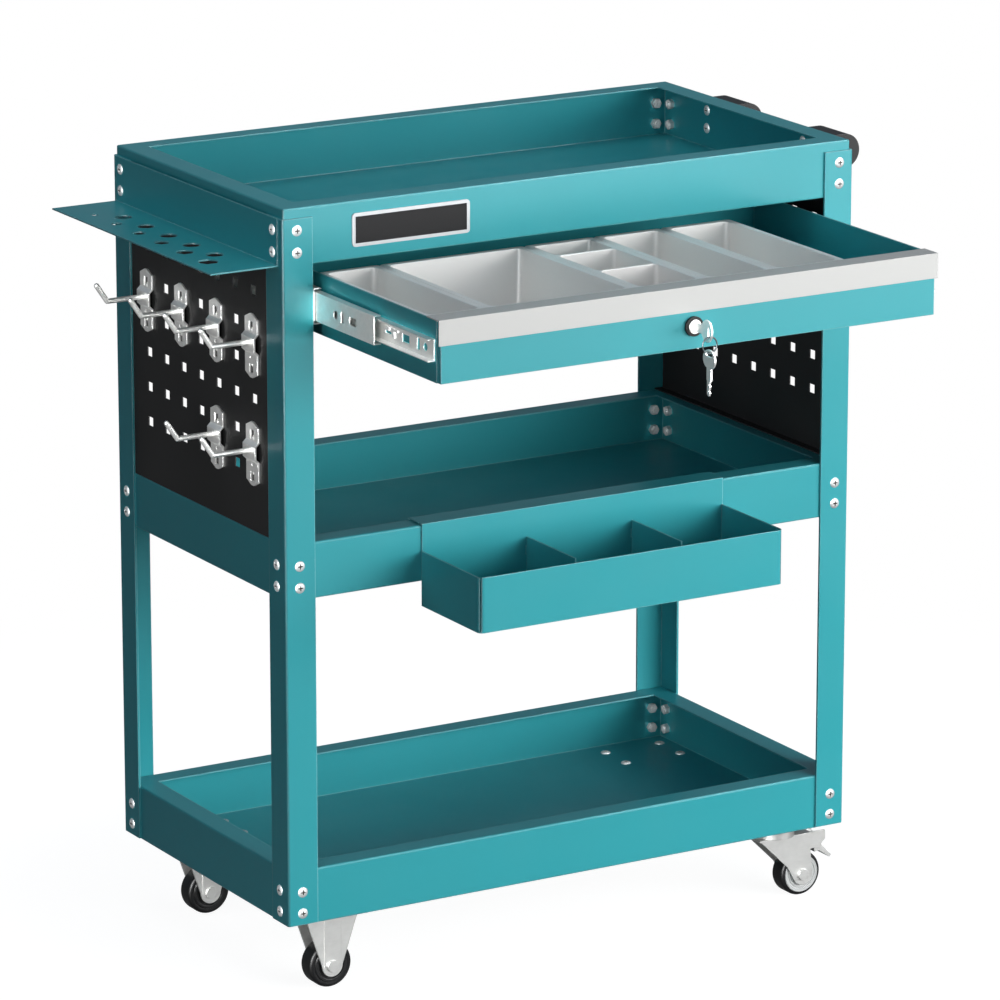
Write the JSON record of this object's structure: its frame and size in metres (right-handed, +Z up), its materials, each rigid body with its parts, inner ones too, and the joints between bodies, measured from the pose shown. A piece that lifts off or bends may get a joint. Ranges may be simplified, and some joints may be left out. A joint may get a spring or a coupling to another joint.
{
  "type": "rolling tool cart",
  "caption": "Open steel tool cart: trays on angle posts, a drawer on ball slides, peg panels with hooks, a screwdriver rack, a hung parts bin, a side handle and casters.",
  "frame": {"origin": "on the floor, under the middle of the box that the cart fills with its drawer drawn as at rest", "axes": "+Z up, the drawer side faces -Y, +X towards the side handle"},
  "size_m": [0.8166, 0.6494, 0.851],
  "materials": {
    "teal_paint": "smooth satin powder coat",
    "black_paint": "matt black powder coat",
    "zinc": "zinc plated sheet",
    "bolt_zinc": "bright zinc",
    "strip_metal": "light grey satin",
    "chrome": "polished",
    "nickel": "satin nickel",
    "black_plastic": "moulded, fine grain",
    "badge": "black field with a silver border, blank",
    "white_plastic": "smooth moulded",
    "wheel": "black tread on a light grey hub"
  },
  "bodies": {
    "frame": {"post_front_left": "teal_paint", "post_rear_left": "teal_paint", "post_front_right": "teal_paint", "post_rear_right": "teal_paint", "bottom_tray": "teal_paint", "middle_tray": "teal_paint", "top_tray": "teal_paint", "peg_panel_left": "black_paint", "peg_panel_right": "black_paint", "slide_brace_left": "zinc", "slide_brace_right": "zinc", "slide_outer_left": "zinc", "slide_outer_right": "zinc", "screwdriver_rack": "teal_paint", "handle_bar": "chrome", "handle_bracket_front": "black_plastic", "handle_bracket_rear": "black_plastic", "badge_plate": "badge", "frame_bolts": "bolt_zinc", "frame_nuts": "bolt_zinc", "rigid_fork_front": "zinc", "rigid_fork_rear": "zinc", "swivel_plate_front": "zinc", "swivel_plate_rear": "zinc"},
    "drawer": {"drawer_box": "teal_paint", "drawer_front": "teal_paint", "pull_strip": "strip_metal", "slide_inner_left": "zinc", "slide_inner_right": "zinc", "lock_housing": "black_plastic", "lock_nut": "nickel"},
    "middle_slide_left": {"slide_middle_left": "zinc"},
    "middle_slide_right": {"slide_middle_right": "zinc"},
    "lock_core": {"lock_plug": "nickel", "lock_cam": "nickel"},
    "door_key": {"key": "nickel"},
    "ring": {"key_ring": "nickel"},
    "second_key": {"spare_key": "nickel"},
    "organiser_1": {"organiser_tray_1": "white_plastic"},
    "organiser_2": {"organiser_tray_2": "white_plastic"},
    "organiser_3": {"organiser_tray_3": "white_plastic"},
    "organiser_4": {"organiser_tray_4": "white_plastic"},
    "organiser_5": {"organiser_tray_5": "white_plastic"},
    "bin": {"parts_bin": "teal_paint"},
    "divider_left": {"bin_divider_left": "teal_paint"},
    "divider_right": {"bin_divider_right": "teal_paint"},
    "hook_1": {"peg_hook_1": "zinc"},
    "hook_2": {"peg_hook_2": "zinc"},
    "hook_3": {"peg_hook_3": "zinc"},
    "hook_4": {"peg_hook_4": "zinc"},
    "hook_5": {"peg_hook_5": "zinc"},
    "hook_6": {"peg_hook_6": "zinc"},
    "rigid_wheel_front": {"wheel_front_left": "wheel"},
    "rigid_wheel_rear": {"wheel_rear_left": "wheel"},
    "swivel_front": {"swivel_fork_front": "zinc"},
    "swivel_wheel_front": {"wheel_front_right": "wheel"},
    "brake_front": {"brake_pedal_front": "zinc"},
    "swivel_rear": {"swivel_fork_rear": "zinc"},
    "swivel_wheel_rear": {"wheel_rear_right": "wheel"},
    "brake_rear": {"brake_pedal_rear": "zinc"}
  },
  "joints": [
    {"name": "drawer_slide", "type": "slide", "parent": "frame", "child": "drawer", "axis": [0, -1, 0], "range_m": [-0.232, 0.098]},
    {"name": "middle_travel_left", "type": "slide", "parent": "frame", "child": "middle_slide_left", "axis": [0, -1, 0], "range_m": [-0.116, 0.049]},
    {"name": "middle_travel_right", "type": "slide", "parent": "frame", "child": "middle_slide_right", "axis": [0, -1, 0], "range_m": [-0.116, 0.049]},
    {"name": "lock_turn", "type": "hinge", "parent": "drawer", "child": "lock_core", "pos_m": [0.01275, -0.2821, 0.7375], "axis": [0, 1, 0], "range_deg": [0, 90]},
    {"name": "key_pull", "type": "slide", "parent": "lock_core", "child": "door_key", "axis": [0, -1, 0], "range_m": [0, 0.02]},
    {"name": "ring_swing", "type": "hinge", "parent": "door_key", "child": "ring", "pos_m": [0.01275, -0.3132, 0.7326], "axis": [1, 0, 0], "range_deg": [-25, 15]},
    {"name": "spare_key_swing", "type": "hinge", "parent": "ring", "child": "second_key", "pos_m": [0.01275, -0.3132, 0.7156], "axis": [1, 0, 0], "range_deg": [-25, 15]},
    {"name": "organiser_lift_1", "type": "slide", "parent": "drawer", "child": "organiser_1", "axis": [0, 0, 1], "range_m": [0, 0.01]},
    {"name": "organiser_lift_2", "type": "slide", "parent": "drawer", "child": "organiser_2", "axis": [0, 0, 1], "range_m": [0, 0.01]},
    {"name": "organiser_lift_3", "type": "slide", "parent": "drawer", "child": "organiser_3", "axis": [0, 0, 1], "range_m": [0, 0.01]},
    {"name": "organiser_lift_4", "type": "slide", "parent": "drawer", "child": "organiser_4", "axis": [0, 0, 1], "range_m": [0, 0.01]},
    {"name": "organiser_lift_5", "type": "slide", "parent": "drawer", "child": "organiser_5", "axis": [0, 0, 1], "range_m": [0, 0.01]},
    {"name": "bin_lift", "type": "slide", "parent": "frame", "child": "bin", "axis": [0, 0, 1], "range_m": [0, 0.15]},
    {"name": "divider_pull_left", "type": "slide", "parent": "bin", "child": "divider_left", "axis": [0, -1, 0], "range_m": [0, 0.015]},
    {"name": "divider_pull_right", "type": "slide", "parent": "bin", "child": "divider_right", "axis": [0, -1, 0], "range_m": [0, 0.015]},
    {"name": "hook_lift_1", "type": "slide", "parent": "frame", "child": "hook_1", "axis": [0, 0, 1], "range_m": [0, 0.0055]},
    {"name": "hook_lift_2", "type": "slide", "parent": "frame", "child": "hook_2", "axis": [0, 0, 1], "range_m": [0, 0.0055]},
    {"name": "hook_lift_3", "type": "slide", "parent": "frame", "child": "hook_3", "axis": [0, 0, 1], "range_m": [0, 0.0055]},
    {"name": "hook_lift_4", "type": "slide", "parent": "frame", "child": "hook_4", "axis": [0, 0, 1], "range_m": [0, 0.0055]},
    {"name": "hook_lift_5", "type": "slide", "parent": "frame", "child": "hook_5", "axis": [0, 0, 1], "range_m": [0, 0.0055]},
    {"name": "hook_lift_6", "type": "slide", "parent": "frame", "child": "hook_6", "axis": [0, 0, 1], "range_m": [0, 0.0055]},
    {"name": "wheel_spin_front_left", "type": "hinge", "parent": "frame", "child": "rigid_wheel_front", "pos_m": [-0.26025, -0.0019, 0.025], "axis": [0, 1, 0], "continuous": true},
    {"name": "wheel_spin_rear_left", "type": "hinge", "parent": "frame", "child": "rigid_wheel_rear", "pos_m": [-0.26025, 0.2721, 0.025], "axis": [0, 1, 0], "continuous": true},
    {"name": "swivel_turn_front", "type": "hinge", "parent": "frame", "child": "swivel_front", "pos_m": [0.30075, -0.0019, 0.075], "axis": [0, 0, 1], "continuous": true},
    {"name": "wheel_spin_front_right", "type": "hinge", "parent": "swivel_front", "child": "swivel_wheel_front", "pos_m": [0.32925, -0.0019, 0.025], "axis": [0, 1, 0], "continuous": true},
    {"name": "brake_press_front", "type": "hinge", "parent": "swivel_front", "child": "brake_front", "pos_m": [0.34875, -0.0019, 0.062], "axis": [0, 1, 0], "range_deg": [0, 8]},
    {"name": "swivel_turn_rear", "type": "hinge", "parent": "frame", "child": "swivel_rear", "pos_m": [0.30075, 0.2721, 0.075], "axis": [0, 0, 1], "continuous": true},
    {"name": "wheel_spin_rear_right", "type": "hinge", "parent": "swivel_rear", "child": "swivel_wheel_rear", "pos_m": [0.32925, 0.2721, 0.025], "axis": [0, 1, 0], "continuous": true},
    {"name": "brake_press_rear", "type": "hinge", "parent": "swivel_rear", "child": "brake_rear", "pos_m": [0.34875, 0.2721, 0.062], "axis": [0, 1, 0], "range_deg": [0, 8]}
  ],
  "couplings": [
    {"joint": "middle_travel_left", "follows": "drawer_slide", "ratio": 0.5},
    {"joint": "middle_travel_right", "follows": "drawer_slide", "ratio": 0.5}
  ]
}
